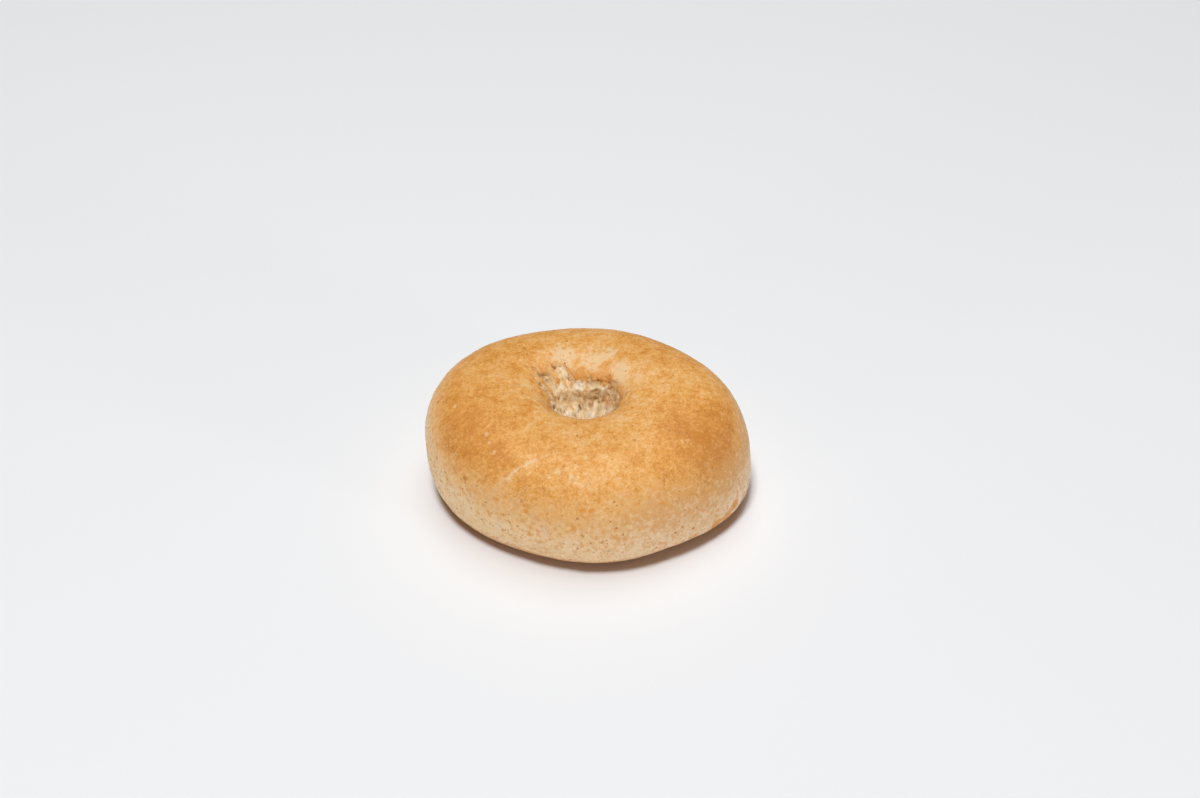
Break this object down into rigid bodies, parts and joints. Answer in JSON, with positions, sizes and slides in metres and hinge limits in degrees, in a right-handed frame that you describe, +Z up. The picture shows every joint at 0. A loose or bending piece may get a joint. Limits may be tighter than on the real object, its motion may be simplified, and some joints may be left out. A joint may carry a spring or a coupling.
{
  "type": "whole wheat bagel",
  "caption": "Puffy whole wheat bagel: an uneven oval ring of browned dough with a small torn hole through it and a flat base",
  "frame": {"origin": "middle of the base: the centre of the plan's box, on the surface that the bagel rests on", "axes": "+X along the long way of the oval, to the right in the picture; +Y away from the viewer; +Z up, along the hole"},
  "size_m": [0.11, 0.0928, 0.0455],
  "materials": {
    "crust": "golden brown baked crust on top, paler tan sides flecked with bran, pale torn crumb inside the hole, dull to satin"
  },
  "bodies": {
    "root": {"bagel": "crust"}
  },
  "joints": []
}
